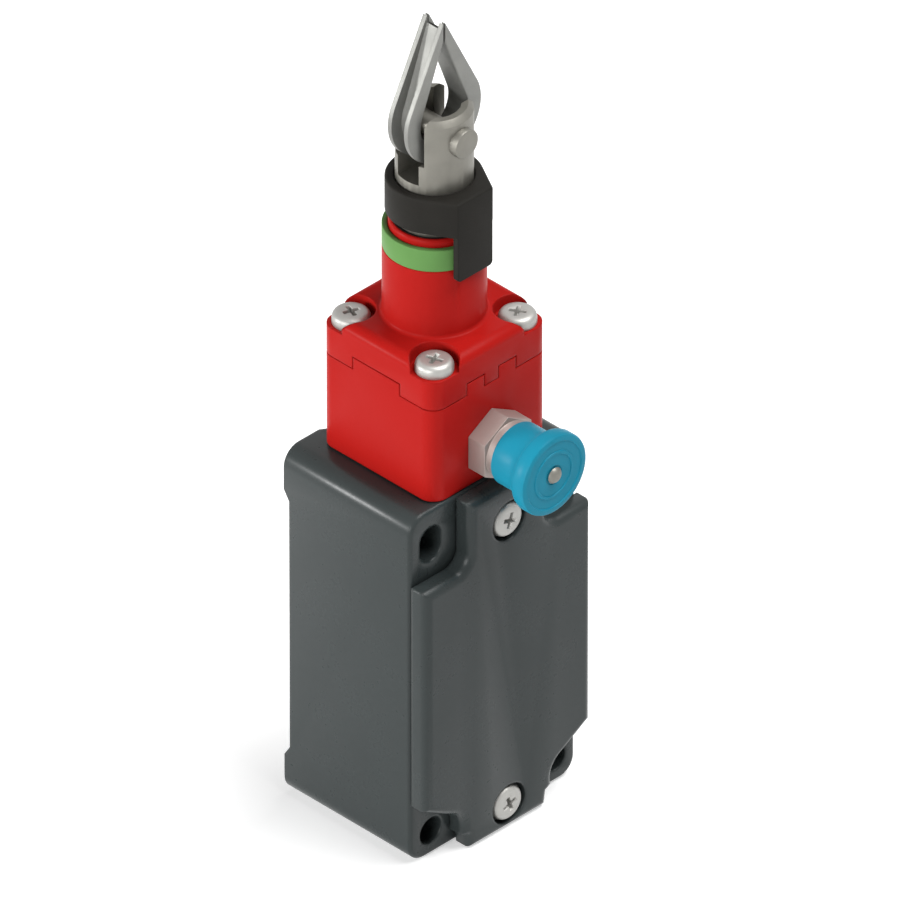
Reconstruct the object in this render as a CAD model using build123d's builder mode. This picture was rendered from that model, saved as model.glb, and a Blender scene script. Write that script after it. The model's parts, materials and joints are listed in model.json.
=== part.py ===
from build123d import *
import os
from math import acos, asin, cos, radians, sin, sqrt

os.makedirs("parts", exist_ok=True)

# Rope pull switch with a reset knob, in millimetres.
# The origin lies midway between the two lower fixing holes, on the mounting plane.
# +Z points up along the pull, and the cover and the knob face -Y.

# Housing
housing_width = 40.0
housing_height = 72.0
housing_depth = 30.5
housing_corner = 3.6
edge_break = 0.5
fine_break = 0.3
tool_over = 1.0
same_place = 0.01
snug_play = 0.02
loose_play = 0.1
blind_wall = 1.2
fixing_drop = 5.0
fixing_spacing_x = 30.0
fixing_spacing_z = 60.0
fixing_hole_radius = 2.65
fixing_slot_length = 7.3
pad_width = 8.5
pad_height = 8.2
pad_relief = 1.3
pad_slope = 2.0
side_wall = 3.5
cavity_low = 10.5
cavity_high = 50.5
cavity_corner = 2.5
back_wall = 3.8
conduit_radius = 9.19
conduit_setback = 15.0
passage_radius = 5.5
housing_low = -fixing_drop
housing_high = housing_low + housing_height
housing_mid = (housing_low + housing_high) / 2
cavity_mid = (cavity_low + cavity_high) / 2
cavity_width = housing_width - 2 * side_wall
cavity_height = cavity_high - cavity_low

# Cover and its seal
seam_gap = 0.3
cover_thickness = 3.7
cover_wall = 2.0
cover_edge = 1.6
tab_half = 9.2
tab_flare = 0.4
tab_flare_drop = 0.8
top_cut_low = 53.5
top_cut_corner = 3.2
low_cut_side = 7.8
low_cut_radius = 4.3
seal_width = 1.8
seal_thickness = 0.9
cover_screw_radius = 1.75
cover_screw_drop = 7.5
cover_screw_top = housing_high - cover_screw_drop
cover_screw_reach = 6.5
cover_hole_play = 0.2
cover_seat_depth = 2.0
cover_seat_radius = 4.0
cover_back = housing_depth + seam_gap
cover_front = cover_back + cover_thickness

# Screws
screw_play = 0.02
screw_tip_gap = 0.3
thread_runout = 0.5
pan_radius = 3.4
pan_height = 2.2
pan_rim = 0.7

# Head box and cap
head_axis = 16.4
head_width = 28.0
head_depth = 27.5
head_corner = 3.0
head_seal = 0.3
head_seal_inset = 0.8
head_floor = 3.0
head_cavity_radius = 10.3
head_height = 21.2
cap_seal = 0.25
cap_recess = 3.25
cap_roof = 2.7
cap_edge = 2.0
cap_tongue_width = 8.0
cap_tongue_drop = 2.45
cap_tongue_thickness = 1.4
cap_tongue_play = 0.2
centre_tongue_width = 3.2
head_screw_spacing = 20.0
head_screw_radius = 1.75
head_screw_reach = 5.0
head_hole_radius = 1.95
seat_pocket_radius = 4.3
head_base = housing_high + head_seal
box_top = head_base + head_height
cap_base = box_top + cap_seal
cap_floor = cap_base + cap_recess
cap_top = cap_floor + cap_roof
head_floor_top = head_base + head_floor

# Neck, band and guide
neck_radius = 9.0
neck_foot = 0.7
band_rise = 13.7
band_height = 4.4
band_low = cap_top + band_rise
band_high = band_low + band_height
band_inner = 7.95
neck_end = 1.5
neck_top = band_high + neck_end
neck_rim_round = 0.9
neck_bore = 6.9
neck_flat = 8.4
neck_flat_drop = 2.2
neck_flat_low = band_low - neck_flat_drop
lip_rise = 6.6
lip_thickness = 1.1
lip_low = cap_top + lip_rise
lip_high = lip_low + lip_thickness
lip_radius = 5.4
guide_length = 4.0
guide_play = 0.05
wiper_radius = 7.35
wiper_depth = 1.7
wiper_play = 0.04
wiper_recess = 0.2

# Clevis, pin and collar
clevis_radius = 6.75
clevis_lip_gap = 0.8
clevis_low = lip_high + clevis_lip_gap
clevis_chamfer = 2.0
ear_gap = 5.0
ear_gap_rise = 10.1
ear_gap_floor = neck_top + ear_gap_rise
ear_flat = 5.2
ear_flat_rise = 3.0
ear_flat_low = ear_gap_floor + ear_flat_rise
pin_radius = 2.0
pin_rise = 8.0
ear_end = 5.2
pin_height = ear_gap_floor + pin_rise
clevis_top = pin_height + ear_end
pin_head_radius = 2.7
pin_head_height = 1.0
collar_radius = 8.5
collar_bore = 6.95
collar_lip_bite = 0.2
collar_rise = 1.5
collar_height = 7.0
collar_lip_rise = 1.4
collar_lip_width = 1.5
collar_low = neck_top + collar_rise
collar_high = collar_low + collar_height
collar_lip_low = collar_low + collar_lip_rise
collar_lip_high = collar_lip_low + collar_lip_width
collar_groove_radius = 6.2
tongue_front = 9.9
tongue_half = 4.2
tongue_thickness = 1.25
tongue_drop = 1.7
tongue_tip = band_low - tongue_drop
tongue_round = 0.9

# Wire rope thimble
thimble_thickness = 4.8
thimble_outer = 8.8
thimble_rise = 3.1
thimble_length = 19.6
thimble_eye_length = 15.8
thimble_centre = pin_height + thimble_rise
thimble_apex = thimble_centre + thimble_length
thimble_eye_apex = thimble_centre + thimble_eye_length
thimble_depth = 3.3
thimble_wall = 0.9
thimble_split = 0.5
thimble_round = 0.35

# Pull rod and main spring
rod_radius = 3.0
rod_rise = 8.4
rod_low = head_base + rod_rise
rod_engagement = 9.0
spring_seat_radius = 6.4
spring_seat_thickness = 1.2
spring_seat_rise = 2.7
spring_seat_low = rod_low + spring_seat_rise
ring_groove_depth = 0.6
ring_thickness = 0.8
ring_radius = 4.7
main_wire = 0.6
main_coil_radius = 5.5
main_turns = 6

# Reset knob, bush and shaft
knob_rise = 7.0
knob_height = head_base + knob_rise
hex_across_flats = 11.2
hex_length = 4.0
bush_neck_radius = 5.25
bush_neck_length = 1.2
bush_thread_radius = 4.9
bush_thread_play = 0.05
bush_end_wall = 2.0
bush_pocket_radius = 3.4
bush_inner_end = 26.3
knob_gap = 0.3
knob_body_radius = 5.9
knob_body_length = 3.6
knob_length = 9.7
knob_flange_radius = 7.75
knob_flange_length = 2.5
knob_rim_round = 0.4
shaft_radius = 2.0
shaft_play = 0.05
shaft_tail_radius = 1.1
shaft_tail_length = 2.6
shaft_shoulder_radius = 3.2
shaft_shoulder_length = 1.0
shaft_shoulder_front = 25.4
shaft_nose_end = 21.2
shaft_nose_cone = 0.8
shaft_nose_slope = 1.2
rivet_radius = 1.55
rivet_height = 0.9
reset_wire = 0.3
reset_coil_radius = 2.75
reset_turns = 5

# Trip slider
slider_radius = 9.7
slider_thickness = 1.6
slider_gap = 0.3
slider_stem_radius = 2.9
slider_foot = 58.3
slider_notch_play = 0.3
slider_notch_depth = 5.6
slider_travel = 3.0

# Contact block
block_side_gap = 1.5
block_width = cavity_width - 2 * block_side_gap
block_corner = 1.2
block_low = 18.5
block_high = 49.5
block_back = 8.0
block_front = 25.0
chamber_width = 27.0
chamber_low = 26.0
chamber_high = 42.0
chamber_back = 11.8
terminal_spacing = 20.0
terminal_pocket = 8.4
terminal_floor = 20.0
plate_thickness = 0.8
plate_width = 6.0
plate_corner = 0.6
contact_leg_inset = 0.4
slot_width = 0.7
slot_depth = 0.8
plate_tip = 14.4
rivet_pad_radius = 1.2
rivet_pad_height = 0.5
saddle_thickness = 1.0
terminal_screw_radius = 1.6
terminal_screw_head = 2.7
terminal_screw_head_height = 1.8
terminal_screw_reach = 15.5
front_plate_thickness = 1.2
plunger_width = 5.0
plunger_depth = 8.0
plunger_play = 0.1
plunger_stop_gap = 0.4
plunger_low = 25.0
plunger_shoulder = 46.0
plunger_stem_radius = 2.5
bridge_width = 4.0
bridge_thickness = 0.8
bridge_length = 22.0
window_height = 3.75
contact_gap = 0.05
contact_wire = 0.25
contact_coil_radius = 1.3
contact_turns = 4
return_pocket_radius = 2.3
return_pocket_low = 19.7
return_wire = 0.3
return_coil_radius = 1.7
return_turns = 5
block_screw_spacing = 22.0
block_screw_height = 34.0
block_screw_radius = 1.4
block_hole_play = 0.15
block_screw_head = 2.3
block_screw_head_height = 1.5
boss_radius = 3.4
earth_inset = 5.5
earth_x = earth_inset - cavity_width / 2
earth_z = 14.6
earth_boss_radius = 3.6
earth_boss_height = 2.0
earth_screw_radius = 1.75
earth_washer_radius = 3.4
earth_washer_thickness = 0.8

# Places that several pieces share
knob_axis_line = Axis((0, 0, knob_height), (0, -1, 0))
head_screw_places = [
    (x * head_screw_spacing / 2, y * head_screw_spacing / 2) for x in (-1, 1) for y in (-1, 1)
]
head_screw_tip = housing_high - head_screw_reach
head_hole_tip = head_screw_tip - thread_runout
cover_screw_places = [(0, 0), (0, cover_screw_top)]
block_screw_places = [(x * block_screw_spacing / 2, block_screw_height) for x in (-1, 1)]
upper_terminal = (chamber_high + block_high) / 2
lower_terminal = (chamber_low + block_low) / 2
terminal_places = [
    (x * terminal_spacing / 2, z) for x in (-1, 1) for z in (lower_terminal, upper_terminal)
]


def across(height):
    """Horizontal plane at a height, centred on the head's axis."""
    return Plane((0, -head_axis, height))


def facing(depth):
    """Upright plane at a depth from the mounting plane, with its normal towards the cover."""
    return Plane.XZ.offset(depth)


# Outline of the cover as seen from the front
low_cut_start = radians(200)
low_cut_middle = radians(156)
low_cut_end = radians(112)
low_cut_points = [
    (
        fixing_spacing_x / 2 + low_cut_radius * cos(turn),
        low_cut_radius * sin(turn),
    )
    for turn in (low_cut_start, low_cut_middle, low_cut_end)
]
top_cut_inner = (tab_half, top_cut_low + top_cut_corner)
top_cut_outer = (tab_half + top_cut_corner, top_cut_low)
with BuildSketch() as cover_face:
    with BuildLine():
        Polyline(
            (0, housing_low),
            (tab_half, housing_low),
            (tab_half + tab_flare, low_cut_points[0][1] - tab_flare_drop),
            low_cut_points[0],
        )
        ThreePointArc(*low_cut_points)
        Polyline(
            low_cut_points[2],
            (housing_width / 2, low_cut_side),
            (housing_width / 2, top_cut_low),
            top_cut_outer,
        )
        RadiusArc(top_cut_outer, top_cut_inner, top_cut_corner)
        Polyline(top_cut_inner, (tab_half, housing_high), (0, housing_high))
        mirror(about=Plane.YZ)
    make_face()


def dome_point(radius, low, high):
    """Middle point of the arc of a ball-shaped dome that rises from low to high."""
    ball = (radius**2 + (high - low) ** 2) / (2 * (high - low))
    half_turn = asin(radius / ball) / 2
    return (ball * sin(half_turn), high - ball + ball * cos(half_turn))


# Half section of a pan head that stands on its seat
with BuildSketch() as pan_section:
    with BuildLine():
        Polyline((0, pan_height), (0, 0), (pan_radius, 0), (pan_radius, pan_rim))
        ThreePointArc(
            (pan_radius, pan_rim),
            dome_point(pan_radius, pan_rim, pan_height),
            (0, pan_height),
        )
    make_face()


def spring(radius, low, high, turns, wire):
    """Compression spring of round wire that stands on the xy plane's axis between two heights."""
    rise = high - low - 2 * wire
    with BuildPart() as shape:
        with BuildLine() as path:
            Helix(rise / turns, rise, radius, center=(0, 0, low + wire))
        with BuildSketch(Plane(path.line @ 0, z_dir=path.line % 0)):
            Circle(wire)
        sweep(path=path.line, is_frenet=True)
    return shape.part


# Housing, cast with a cavity that opens at the front
with BuildPart() as housing_base:
    with BuildSketch(Plane.XZ):
        with Locations((0, housing_mid)):
            RectangleRounded(housing_width, housing_height, housing_corner)
    extrude(amount=housing_depth)
    chamfer(housing_base.faces().sort_by(Axis.Y)[0].edges(), edge_break)
    # Back relief between the four corner pads, with sloped ends
    slope_ends = [
        (housing_low + pad_height, housing_high - pad_height),
        (pad_width - housing_width / 2, housing_width / 2 - pad_width),
    ]
    with BuildSketch(Plane.YZ.offset(-housing_width / 2 - tool_over)):
        low, high = slope_ends[0]
        with BuildLine():
            Polyline(
                (1, low),
                (0, low),
                (-pad_relief, low + pad_slope),
                (-pad_relief, high - pad_slope),
                (0, high),
                (1, high),
                close=True,
            )
        make_face()
    extrude(amount=housing_width + 2 * tool_over, mode=Mode.SUBTRACT)
    with BuildSketch(Plane.XY.offset(housing_low - tool_over)):
        low, high = slope_ends[1]
        with BuildLine():
            Polyline(
                (low, 1),
                (low, 0),
                (low + pad_slope, -pad_relief),
                (high - pad_slope, -pad_relief),
                (high, 0),
                (high, 1),
                close=True,
            )
        make_face()
    extrude(amount=housing_height + 2 * tool_over, mode=Mode.SUBTRACT)
    # Wiring cavity
    with BuildSketch(facing(housing_depth)):
        with Locations((0, cavity_mid)):
            RectangleRounded(cavity_width, cavity_height, cavity_corner)
    extrude(amount=-(housing_depth - back_wall), mode=Mode.SUBTRACT)
    # Bosses on the back wall for the contact block and the earth screw
    with BuildSketch(facing(back_wall)):
        with Locations(*block_screw_places):
            Circle(boss_radius)
    extrude(amount=block_back - back_wall)
    with BuildSketch(facing(back_wall)):
        with Locations((earth_x, earth_z)):
            Circle(earth_boss_radius)
    extrude(amount=earth_boss_height)
    with BuildSketch(facing(block_back)):
        with Locations(*block_screw_places):
            Circle(block_screw_radius + screw_play)
    extrude(amount=-(block_back - pad_relief - blind_wall), mode=Mode.SUBTRACT)
    with BuildSketch(facing(back_wall + earth_boss_height)):
        with Locations((earth_x, earth_z)):
            Circle(earth_screw_radius + screw_play)
    extrude(amount=-(back_wall + earth_boss_height - pad_relief - blind_wall), mode=Mode.SUBTRACT)
    # Cable entry below, and the passage from the head above
    with BuildSketch(Plane.XY.offset(housing_low)):
        with Locations((0, -conduit_setback)):
            Circle(conduit_radius)
    extrude(amount=cavity_low - housing_low + tool_over, mode=Mode.SUBTRACT)
    with BuildSketch(across(housing_high)):
        Circle(passage_radius)
    extrude(amount=-(housing_high - cavity_high + tool_over), mode=Mode.SUBTRACT)
    # Fixing holes: round below, slotted above
    with BuildSketch(Plane.XZ):
        with Locations((-fixing_spacing_x / 2, 0), (fixing_spacing_x / 2, 0)):
            Circle(fixing_hole_radius)
        with Locations(
            (-fixing_spacing_x / 2, fixing_spacing_z), (fixing_spacing_x / 2, fixing_spacing_z)
        ):
            SlotOverall(fixing_slot_length, 2 * fixing_hole_radius, rotation=90)
    extrude(amount=housing_depth, mode=Mode.SUBTRACT)
    # Tapped holes for the cover screws and the head screws
    with BuildSketch(facing(housing_depth)):
        with Locations(*cover_screw_places):
            Circle(cover_screw_radius + screw_play)
    extrude(amount=-cover_screw_reach, mode=Mode.SUBTRACT)
    with BuildSketch(across(housing_high)):
        with Locations(*head_screw_places):
            Circle(head_screw_radius + screw_play)
    extrude(amount=-(housing_high - head_hole_tip), mode=Mode.SUBTRACT)

housing_base.part.label = "housing_base"
export_step(housing_base.part, "parts/housing_base.step")

# Seal that lies in a groove of the cover and closes the wiring cavity
with BuildPart() as cover_seal:
    with BuildSketch(facing(housing_depth)):
        with Locations((0, cavity_mid)):
            RectangleRounded(
                cavity_width + 2 * seal_width + tool_over,
                cavity_height + 2 * seal_width + tool_over,
                cavity_corner + seal_width,
            )
            RectangleRounded(
                cavity_width + tool_over, cavity_height + tool_over, cavity_corner, mode=Mode.SUBTRACT
            )
    extrude(amount=seal_thickness)

cover_seal.part.label = "cover_seal"
export_step(cover_seal.part, "parts/cover_seal.step")

# Front cover, cut out at the four corners to reach the fixing holes
with BuildPart() as front_cover:
    with BuildSketch(facing(cover_back)):
        add(cover_face.sketch)
    extrude(amount=cover_thickness)
    fillet(front_cover.faces().sort_by(Axis.Y)[0].edges(), cover_edge)
    with BuildSketch(facing(cover_back)):
        with Locations((0, cavity_mid)):
            RectangleRounded(
                cavity_width + 2 * seal_width + tool_over,
                cavity_height + 2 * seal_width + tool_over,
                cavity_corner + seal_width,
            )
            RectangleRounded(
                cavity_width + tool_over, cavity_height + tool_over, cavity_corner, mode=Mode.SUBTRACT
            )
    extrude(amount=seal_thickness - seam_gap, mode=Mode.SUBTRACT)
    with BuildSketch(facing(cover_back)):
        with Locations((0, cavity_mid)):
            RectangleRounded(cavity_width - tool_over, cavity_height - tool_over, cavity_corner)
    extrude(amount=cover_thickness - cover_wall, mode=Mode.SUBTRACT)
    with BuildSketch(facing(cover_front)):
        with Locations(*cover_screw_places):
            Circle(cover_seat_radius)
    extrude(amount=-cover_seat_depth, mode=Mode.SUBTRACT)
    with BuildSketch(facing(cover_back)):
        with Locations(*cover_screw_places):
            Circle(cover_screw_radius + cover_hole_play)
    extrude(amount=cover_thickness, mode=Mode.SUBTRACT)

front_cover.part.label = "front_cover"
export_step(front_cover.part, "parts/front_cover.step")

# Two pan head screws of the cover
cover_seat = cover_front - cover_seat_depth
cover_screw_tip = housing_depth - cover_screw_reach + 0.5
with BuildPart() as cover_screws:
    for x, z in cover_screw_places:
        with BuildSketch(Plane((x, -cover_seat, z), x_dir=(1, 0, 0), z_dir=(0, 0, -1))):
            add(pan_section.sketch)
        revolve(axis=Axis((x, 0, z), (0, -1, 0)))
        with BuildSketch(Plane((x, -cover_seat, z), x_dir=(1, 0, 0), z_dir=(0, 1, 0))):
            Circle(cover_screw_radius)
        extrude(amount=cover_seat - cover_screw_tip)

cover_screws.part.label = "cover_screws"
export_step(cover_screws.part, "parts/cover_screws.step")

# Seal between the housing and the head
with BuildPart() as flange_seal:
    with BuildSketch(across(housing_high)):
        RectangleRounded(
            head_width - 2 * head_seal_inset, head_depth - 2 * head_seal_inset, head_corner
        )
        Circle(passage_radius, mode=Mode.SUBTRACT)
        with Locations(*head_screw_places):
            Circle(head_hole_radius, mode=Mode.SUBTRACT)
    extrude(amount=head_seal)

flange_seal.part.label = "flange_seal"
export_step(flange_seal.part, "parts/flange_seal.step")


def tongue_sketch(thickness, play):
    """Places of the cap's tongues at the corners and at the middle of the front."""
    RectangleRounded(head_width, head_depth, head_corner)
    RectangleRounded(
        head_width - 2 * thickness,
        head_depth - 2 * thickness,
        head_corner - thickness / 2,
        mode=Mode.SUBTRACT,
    )
    reach = cap_tongue_width + play
    side_gap = head_depth - 2 * reach
    front_gap = (head_width - 2 * reach - centre_tongue_width - 2 * play) / 2
    Rectangle(head_width, side_gap, mode=Mode.SUBTRACT)
    Rectangle(head_width - 2 * reach, thickness * 4, mode=Mode.SUBTRACT)
    with Locations((0, head_depth / 2)):
        Rectangle(head_width - 2 * reach, thickness * 4, mode=Mode.SUBTRACT)
    middle = (centre_tongue_width + 2 * play + front_gap) / 2
    with Locations((-middle, -head_depth / 2), (middle, -head_depth / 2)):
        Rectangle(front_gap, thickness * 4, mode=Mode.SUBTRACT)


# Head box, bored for the mechanism
with BuildPart() as head_box:
    with BuildSketch(across(head_base)):
        RectangleRounded(head_width, head_depth, head_corner)
    extrude(amount=box_top - head_base)
    with BuildSketch(across(box_top)):
        tongue_sketch(cap_tongue_thickness + cap_tongue_play, cap_tongue_play)
    extrude(amount=-(cap_tongue_drop - cap_seal + cap_tongue_play), mode=Mode.SUBTRACT)
    with BuildSketch(across(head_floor_top)):
        Circle(head_cavity_radius)
    extrude(amount=box_top - head_floor_top, mode=Mode.SUBTRACT)
    with BuildSketch(across(head_base)):
        Circle(slider_stem_radius + loose_play)
        with Locations(*head_screw_places):
            Circle(head_hole_radius)
    extrude(amount=head_floor, mode=Mode.SUBTRACT)
    with BuildSketch(across(head_base)):
        with Locations(*head_screw_places):
            Circle(head_hole_radius)
    extrude(amount=box_top - head_base, mode=Mode.SUBTRACT)
    with BuildSketch(facing(head_axis)):
        with Locations((0, knob_height)):
            Circle(bush_thread_radius + bush_thread_play)
    extrude(amount=head_depth, mode=Mode.SUBTRACT)

head_box.part.label = "head_box"
export_step(head_box.part, "parts/head_box.step")

# Seal between the head box and its cap
with BuildPart() as cap_seal_ring:
    with BuildSketch(across(box_top)):
        inset = cap_tongue_thickness + cap_tongue_play
        RectangleRounded(head_width - 2 * inset, head_depth - 2 * inset, head_corner - inset / 2)
        Circle(head_cavity_radius, mode=Mode.SUBTRACT)
        with Locations(*head_screw_places):
            Circle(head_hole_radius, mode=Mode.SUBTRACT)
    extrude(amount=cap_seal)

cap_seal_ring.part.label = "cap_seal"
export_step(cap_seal_ring.part, "parts/cap_seal.step")

# Head cap with its screw seats, tongues and neck
with BuildPart() as head_cap:
    with BuildSketch(across(cap_base)):
        RectangleRounded(head_width, head_depth, head_corner)
    extrude(amount=cap_top - cap_base)
    fillet(head_cap.faces().sort_by(Axis.Z)[-1].edges(), cap_edge)
    corner_x = head_width / 2 - head_screw_spacing / 2 + tool_over
    corner_y = head_depth / 2 - head_screw_spacing / 2 + tool_over
    with BuildSketch(across(cap_floor)):
        with Locations(*head_screw_places):
            Circle(seat_pocket_radius)
        for x, y in head_screw_places:
            side_x = 1 if x > 0 else -1
            side_y = 1 if y > 0 else -1
            with Locations((x + side_x * corner_x / 2, y + side_y * corner_y / 2)):
                Rectangle(corner_x, corner_y)
    extrude(amount=cap_top - cap_floor, mode=Mode.SUBTRACT)
    with BuildSketch(across(cap_top)):
        Circle(neck_radius)
    extrude(amount=band_low - cap_top)
    foot = head_cap.edges().filter_by(GeomType.CIRCLE).filter_by(
        lambda edge: abs(edge.radius - neck_radius) < same_place
        and abs(edge.center().Z - cap_top) < same_place
    )
    fillet(foot, neck_foot)
    with BuildSketch(across(band_low)):
        Circle(band_inner - snug_play)
    extrude(amount=neck_top - band_low)
    fillet(head_cap.faces().sort_by(Axis.Z)[-1].edges(), neck_rim_round)
    with BuildSketch(across(cap_base)):
        tongue_sketch(cap_tongue_thickness, 0)
    extrude(amount=-cap_tongue_drop)
    # Flat that lets the pointer slide down beside the neck
    with BuildSketch(across(neck_flat_low)):
        with Locations((0, -neck_flat - neck_radius / 2)):
            Rectangle(2 * neck_radius, neck_radius)
    extrude(amount=neck_top - neck_flat_low, mode=Mode.SUBTRACT)
    # Stepped bore for the guide bush, the clevis and the wiper
    with BuildSketch(across(cap_base)):
        Circle(neck_bore)
    extrude(amount=lip_low - cap_base, mode=Mode.SUBTRACT)
    with BuildSketch(across(lip_low)):
        Circle(lip_radius)
    extrude(amount=lip_high - lip_low, mode=Mode.SUBTRACT)
    with BuildSketch(across(lip_high)):
        Circle(neck_bore)
    extrude(amount=neck_top - lip_high, mode=Mode.SUBTRACT)
    with BuildSketch(across(neck_top)):
        Circle(wiper_radius)
    extrude(amount=-wiper_depth, mode=Mode.SUBTRACT)
    with BuildSketch(across(cap_base)):
        with Locations(*head_screw_places):
            Circle(head_hole_radius)
    extrude(amount=cap_floor - cap_base, mode=Mode.SUBTRACT)

head_cap.part.label = "head_cap"
export_step(head_cap.part, "parts/head_cap.step")

# Four pan head screws that clamp the cap and the box to the housing
with BuildPart() as head_screws:
    for x, y in head_screw_places:
        with BuildSketch(Plane((x, y - head_axis, cap_floor), x_dir=(1, 0, 0), z_dir=(0, -1, 0))):
            add(pan_section.sketch)
        revolve(axis=Axis((x, y - head_axis, 0), (0, 0, 1)))
        with BuildSketch(Plane((x, y - head_axis, cap_floor))):
            Circle(head_screw_radius)
        extrude(amount=-(cap_floor - head_screw_tip))

head_screws.part.label = "head_screws"
export_step(head_screws.part, "parts/head_screws.step")

# Green band that shows the right rope tension
with BuildPart() as tension_band:
    with BuildSketch(across(band_low)):
        Circle(neck_radius)
        Circle(band_inner, mode=Mode.SUBTRACT)
        with Locations((0, -neck_flat - neck_radius / 2)):
            Rectangle(2 * neck_radius, neck_radius, mode=Mode.SUBTRACT)
    extrude(amount=band_high - band_low)

tension_band.part.label = "tension_band"
export_step(tension_band.part, "parts/tension_band.step")

# Wiper at the mouth of the neck
with BuildPart() as neck_wiper:
    with BuildSketch(across(neck_top - wiper_depth)):
        Circle(wiper_radius - snug_play)
        Circle(clevis_radius + wiper_play, mode=Mode.SUBTRACT)
    extrude(amount=wiper_depth - wiper_recess)

neck_wiper.part.label = "neck_wiper"
export_step(neck_wiper.part, "parts/neck_wiper.step")

# Guide bush of the pull rod, held up against the lip by the main spring
guide_low = lip_low - guide_length
with BuildPart() as guide_bush:
    with BuildSketch(across(guide_low)):
        Circle(neck_bore - snug_play)
        Circle(rod_radius + guide_play, mode=Mode.SUBTRACT)
    extrude(amount=guide_length)
    with BuildSketch(across(lip_low)):
        Circle(lip_radius - loose_play)
        Circle(rod_radius + guide_play, mode=Mode.SUBTRACT)
    extrude(amount=(lip_high - lip_low) / 2)

guide_bush.part.label = "guide_bush"
export_step(guide_bush.part, "parts/guide_bush.step")

# Clevis, turned from bar and slotted for the thimble
with BuildPart() as clevis:
    with BuildSketch(across(clevis_low)):
        Circle(clevis_radius)
    extrude(amount=clevis_top - clevis_low)
    chamfer(clevis.faces().sort_by(Axis.Z)[-1].edges(), clevis_chamfer)
    chamfer(clevis.faces().sort_by(Axis.Z)[0].edges(), edge_break)
    with BuildSketch(across(collar_lip_low)):
        Circle(clevis_radius + tool_over)
        Circle(collar_groove_radius, mode=Mode.SUBTRACT)
    extrude(amount=collar_lip_high - collar_lip_low, mode=Mode.SUBTRACT)
    with BuildSketch(across(ear_gap_floor)):
        Rectangle(2 * (clevis_radius + tool_over), ear_gap)
    extrude(amount=clevis_top - ear_gap_floor, mode=Mode.SUBTRACT)
    with BuildSketch(across(ear_flat_low)):
        with Locations((-ear_flat - clevis_radius / 2, 0), (ear_flat + clevis_radius / 2, 0)):
            Rectangle(clevis_radius, 2 * clevis_radius)
    extrude(amount=clevis_top - ear_flat_low, mode=Mode.SUBTRACT)
    with BuildSketch(facing(head_axis)):
        with Locations((0, pin_height)):
            Circle(pin_radius + snug_play)
    extrude(amount=clevis_radius + tool_over, both=True, mode=Mode.SUBTRACT)
    with BuildSketch(across(clevis_low)):
        Circle(rod_radius + snug_play)
    extrude(amount=rod_engagement, mode=Mode.SUBTRACT)

clevis.part.label = "clevis"
export_step(clevis.part, "parts/clevis.step")

# Rivet pin through the ears, headed at both ends
with BuildPart() as clevis_pin:
    with BuildSketch(facing(head_axis)):
        with Locations((0, pin_height)):
            Circle(pin_radius)
    extrude(amount=clevis_radius + snug_play, both=True)
    for side in (-1, 1):
        with BuildSketch(facing(head_axis + side * (clevis_radius + snug_play))):
            with Locations((0, pin_height)):
                Circle(pin_head_radius)
        extrude(amount=side * pin_head_height)
    ends = clevis_pin.faces().sort_by(Axis.Y)
    chamfer([*ends[0].edges(), *ends[-1].edges()], fine_break)

clevis_pin.part.label = "clevis_pin"
export_step(clevis_pin.part, "parts/clevis_pin.step")

# Black indicator collar, snapped into the clevis, with its pointer tongue
corner_distance = sqrt(tongue_half**2 + tongue_front**2)
tangent_turn = acos(collar_radius / corner_distance)
tangent_start = acos(tongue_front / corner_distance)
blend_x = collar_radius * sin(tangent_start + tangent_turn)
blend_y = -collar_radius * cos(tangent_start + tangent_turn)
with BuildPart() as indicator_collar:
    with BuildSketch(across(collar_low)):
        Circle(collar_radius)
        with BuildLine():
            Polyline(
                (-tongue_half, -tongue_front),
                (tongue_half, -tongue_front),
                (blend_x, blend_y),
                (0, 0),
                (-blend_x, blend_y),
                close=True,
            )
        make_face()
    extrude(amount=collar_high - collar_low)
    chamfer(indicator_collar.faces().sort_by(Axis.Z)[-1].edges(), fine_break)
    with BuildSketch(facing(head_axis + tongue_front - tongue_thickness)):
        with BuildLine():
            Line((-tongue_half, collar_low + tool_over), (-tongue_half, tongue_tip + tongue_round))
            RadiusArc(
                (-tongue_half, tongue_tip + tongue_round),
                (-tongue_half + tongue_round, tongue_tip),
                -tongue_round,
            )
            Line((-tongue_half + tongue_round, tongue_tip), (tongue_half - tongue_round, tongue_tip))
            RadiusArc(
                (tongue_half - tongue_round, tongue_tip),
                (tongue_half, tongue_tip + tongue_round),
                -tongue_round,
            )
            Line((tongue_half, tongue_tip + tongue_round), (tongue_half, collar_low + tool_over))
            Line((tongue_half, collar_low + tool_over), (-tongue_half, collar_low + tool_over))
        make_face()
    extrude(amount=tongue_thickness)
    with BuildSketch(across(collar_low)):
        Circle(collar_bore)
    extrude(amount=collar_high - collar_low, mode=Mode.SUBTRACT)
    with BuildSketch(across(collar_lip_low)):
        Circle(collar_bore + collar_lip_bite)
        Circle(collar_groove_radius + snug_play, mode=Mode.SUBTRACT)
    extrude(amount=collar_lip_high - collar_lip_low)

indicator_collar.part.label = "indicator_collar"
export_step(indicator_collar.part, "parts/indicator_collar.step")


def drop(radius, apex, offset):
    """Drop shape of the thimble: a round lower end and two straight sides that meet on top."""
    lean = asin(radius / (apex - thimble_centre))
    tip = apex + offset / sin(lean)
    radius += offset
    touch = (radius * cos(lean), thimble_centre + radius * sin(lean))
    with BuildSketch() as shape:
        with BuildLine():
            Polyline((-touch[0], touch[1]), (0, tip), touch)
            ThreePointArc(touch, (0, thimble_centre - radius), (-touch[0], touch[1]))
        make_face()
    return shape.sketch


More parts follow.
